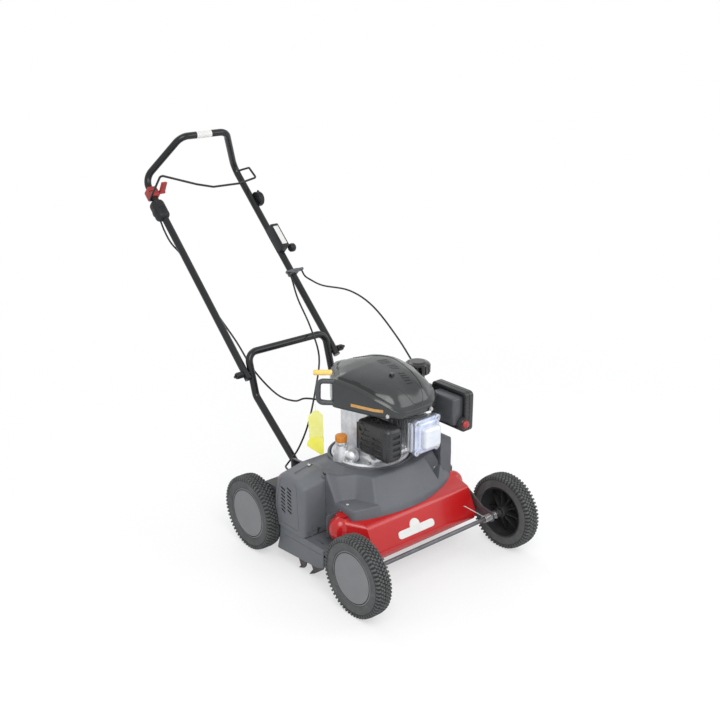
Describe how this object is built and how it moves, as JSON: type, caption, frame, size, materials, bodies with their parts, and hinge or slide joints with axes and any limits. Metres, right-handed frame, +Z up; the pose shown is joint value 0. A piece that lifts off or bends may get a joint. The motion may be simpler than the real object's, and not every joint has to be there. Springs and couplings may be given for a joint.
{
  "type": "lawn scarifier",
  "caption": "Petrol lawn scarifier: wheeled red deck over a bladed rotor, belt drive cover, small upright-shaft engine and a folding tubular push handle.",
  "frame": {"origin": "on the ground under the middle of the bounding box", "axes": "+Z up; the machine's front faces -Y and the operator stands on the +Y side; the axles run along X, with the belt cover on the -X side"},
  "size_m": [0.601, 1.2701, 1.0988],
  "materials": {
    "front_right_tyre": "matt",
    "front_right_wheel": "satin",
    "front_left_tyre": "matt",
    "front_left_wheel": "satin",
    "rear_right_tyre": "matt",
    "rear_right_wheel": "satin",
    "rear_left_tyre": "matt",
    "rear_left_wheel": "satin",
    "front_axle": "zinc plated",
    "rear_axle": "zinc plated",
    "deck_shell": "gloss",
    "side_plate_right": "satin",
    "side_plate_left": "satin",
    "rear_flap": "matt",
    "rotor_shaft": "turned",
    "rotor_blades": "hardened steel",
    "rotor_bearing_right": "cast",
    "rotor_bearing_left": "cast",
    "drive_shaft": "turned",
    "drive_pulley": "turned",
    "rotor_pulley": "turned",
    "drive_belt": "matt",
    "idler_arm": "zinc plated",
    "idler_pulley": "satin",
    "gearbox_housing": "cast",
    "shaft_support": "cast",
    "belt_cover": "satin",
    "belt_skirt": "satin",
    "deck_cover": "satin",
    "lower_handle": "gloss",
    "upper_handle": "gloss",
    "fold_knob_right": "satin",
    "fold_knob_left": "satin",
    "bail": "gloss",
    "clamp_block": "satin",
    "safety_trigger": "satin",
    "brake_housing": "satin",
    "throttle_disc": "satin",
    "throttle_lever": "satin",
    "clutch_panel": "satin",
    "clutch_lever": "satin",
    "cable_bracket": "satin",
    "crankcase": "cast",
    "oil_cap": "satin",
    "cylinder_block": "cast",
    "valve_cover": "cast",
    "muffler_guard": "satin",
    "muffler": "heat dulled",
    "blower_housing": "satin",
    "starter_cover": "satin",
    "crankshaft": "machined",
    "starter_grip": "satin",
    "fuel_tank": "satin",
    "fuel_cap": "satin",
    "air_filter_box": "satin",
    "carburettor": "cast",
    "primer_bulb": "satin",
    "brake_cable": "matt",
    "clutch_cable": "matt",
    "throttle_cable": "matt"
  },
  "bodies": {
    "chassis": {"front_axle": "front_axle", "rear_axle": "rear_axle", "deck_shell": "deck_shell", "side_plate_right": "side_plate_right", "side_plate_left": "side_plate_left", "rotor_bearing_right": "rotor_bearing_right", "rotor_bearing_left": "rotor_bearing_left", "drive_belt": "drive_belt", "gearbox_housing": "gearbox_housing", "shaft_support": "shaft_support", "belt_cover": "belt_cover", "belt_skirt": "belt_skirt", "deck_cover": "deck_cover", "lower_handle": "lower_handle", "crankcase": "crankcase", "cylinder_block": "cylinder_block", "valve_cover": "valve_cover", "muffler_guard": "muffler_guard", "muffler": "muffler", "blower_housing": "blower_housing", "starter_cover": "starter_cover", "fuel_tank": "fuel_tank", "air_filter_box": "air_filter_box", "carburettor": "carburettor", "brake_cable": "brake_cable", "clutch_cable": "clutch_cable", "throttle_cable": "throttle_cable"},
    "front_right_wheel": {"front_right_tyre": "front_right_tyre", "front_right_wheel": "front_right_wheel"},
    "front_left_wheel": {"front_left_tyre": "front_left_tyre", "front_left_wheel": "front_left_wheel"},
    "rear_right_wheel": {"rear_right_tyre": "rear_right_tyre", "rear_right_wheel": "rear_right_wheel"},
    "rear_left_wheel": {"rear_left_tyre": "rear_left_tyre", "rear_left_wheel": "rear_left_wheel"},
    "rotor": {"rotor_shaft": "rotor_shaft", "rotor_blades": "rotor_blades", "rotor_pulley": "rotor_pulley"},
    "drive": {"drive_shaft": "drive_shaft", "drive_pulley": "drive_pulley"},
    "crank": {"crankshaft": "crankshaft"},
    "idler_arm": {"idler_arm": "idler_arm"},
    "idler": {"idler_pulley": "idler_pulley"},
    "flap": {"rear_flap": "rear_flap"},
    "handle": {"upper_handle": "upper_handle", "clamp_block": "clamp_block", "brake_housing": "brake_housing", "throttle_disc": "throttle_disc", "clutch_panel": "clutch_panel", "cable_bracket": "cable_bracket"},
    "bail": {"bail": "bail"},
    "trigger": {"safety_trigger": "safety_trigger"},
    "throttle": {"throttle_lever": "throttle_lever"},
    "clutch": {"clutch_lever": "clutch_lever"},
    "knob_right": {"fold_knob_right": "fold_knob_right"},
    "knob_left": {"fold_knob_left": "fold_knob_left"},
    "fuel_cap": {"fuel_cap": "fuel_cap"},
    "oil_cap": {"oil_cap": "oil_cap"},
    "primer": {"primer_bulb": "primer_bulb"},
    "starter": {"starter_grip": "starter_grip"}
  },
  "joints": [
    {"name": "front_right_wheel_spin", "type": "hinge", "parent": "chassis", "child": "front_right_wheel", "pos_m": [-0.2774, -0.52515, 0.11], "axis": [1, 0, 0], "continuous": true},
    {"name": "front_left_wheel_spin", "type": "hinge", "parent": "chassis", "child": "front_left_wheel", "pos_m": [0.2774, -0.52515, 0.11], "axis": [1, 0, 0], "continuous": true},
    {"name": "rear_right_wheel_spin", "type": "hinge", "parent": "chassis", "child": "rear_right_wheel", "pos_m": [-0.2774, -0.06215, 0.11], "axis": [1, 0, 0], "continuous": true},
    {"name": "rear_left_wheel_spin", "type": "hinge", "parent": "chassis", "child": "rear_left_wheel", "pos_m": [0.2774, -0.06215, 0.11], "axis": [1, 0, 0], "continuous": true},
    {"name": "rotor_spin", "type": "hinge", "parent": "chassis", "child": "rotor", "pos_m": [0, -0.26315, 0.078], "axis": [1, 0, 0], "continuous": true},
    {"name": "drive_spin", "type": "hinge", "parent": "chassis", "child": "drive", "pos_m": [0, -0.26015, 0.226], "axis": [1, 0, 0], "continuous": true},
    {"name": "crank_spin", "type": "hinge", "parent": "chassis", "child": "crank", "pos_m": [0.02, -0.26015, 0.447], "axis": [0, 0, 1], "continuous": true},
    {"name": "idler_arm_swing", "type": "hinge", "parent": "chassis", "child": "idler_arm", "pos_m": [-0.258, -0.19932, 0.18895], "axis": [1, 0, 0], "range_deg": [-12, 0]},
    {"name": "idler_spin", "type": "hinge", "parent": "idler_arm", "child": "idler", "pos_m": [-0.258, -0.21729, 0.14661], "axis": [1, 0, 0], "continuous": true},
    {"name": "rear_flap_swing", "type": "hinge", "parent": "chassis", "child": "flap", "pos_m": [0, -0.06915, 0.188], "axis": [1, 0, 0], "range_deg": [0, 60]},
    {"name": "handle_fold", "type": "hinge", "parent": "chassis", "child": "handle", "pos_m": [0, 0.11535, 0.4535], "axis": [1, 0, 0], "range_deg": [0, 110], "deforming": ["brake_cable", "clutch_cable", "throttle_cable"]},
    {"name": "fold_knob_right_turn", "type": "hinge", "parent": "chassis", "child": "knob_right", "pos_m": [-0.1789, 0.11535, 0.4535], "axis": [1, 0, 0], "continuous": true},
    {"name": "fold_knob_left_turn", "type": "hinge", "parent": "chassis", "child": "knob_left", "pos_m": [0.1789, 0.11535, 0.4535], "axis": [1, 0, 0], "continuous": true},
    {"name": "bail_swing", "type": "hinge", "parent": "handle", "child": "bail", "pos_m": [-0.1884, 0.57723, 0.89797], "axis": [0.985, 0.1243, 0.1196], "range_deg": [-40, 0], "stiffness_Nm_per_rad": 1.2, "springref_deg": 14.32},
    {"name": "safety_trigger_press", "type": "hinge", "parent": "handle", "child": "trigger", "pos_m": [-0.1508, 0.58152, 0.91875], "axis": [1, 0, 0], "range_deg": [0, 15], "stiffness_Nm_per_rad": 0.2, "springref_deg": -20.05},
    {"name": "throttle_lever_swing", "type": "hinge", "parent": "handle", "child": "throttle", "pos_m": [0.2009, 0.53266, 0.86064], "axis": [1, 0, 0], "range_deg": [-40, 40]},
    {"name": "clutch_lever_swing", "type": "hinge", "parent": "handle", "child": "clutch", "pos_m": [0.1829, 0.39192, 0.75018], "axis": [1, 0, 0], "range_deg": [-60, 0]},
    {"name": "fuel_cap_turn", "type": "hinge", "parent": "chassis", "child": "fuel_cap", "pos_m": [0.196, -0.23515, 0.47], "axis": [0, 0, 1], "continuous": true},
    {"name": "oil_cap_turn", "type": "hinge", "parent": "chassis", "child": "oil_cap", "pos_m": [-0.088, -0.23015, 0.332], "axis": [0, 0, 1], "continuous": true},
    {"name": "primer_press", "type": "slide", "parent": "chassis", "child": "primer", "axis": [0, 1, 0], "range_m": [0, 0.004], "stiffness_N_per_m": 400, "springref_m": -0.002},
    {"name": "starter_pull", "type": "slide", "parent": "chassis", "child": "starter", "axis": [-0.0499, 0.799, 0.5993], "range_m": [0, 0.55], "stiffness_N_per_m": 6, "springref_m": -0.3}
  ],
  "couplings": [
    {"joint": "drive_spin", "follows": "rotor_spin", "ratio": 1.2632},
    {"joint": "crank_spin", "follows": "rotor_spin", "ratio": 1.2632},
    {"joint": "idler_arm_swing", "follows": "clutch_lever_swing", "ratio": 0.2}
  ]
}
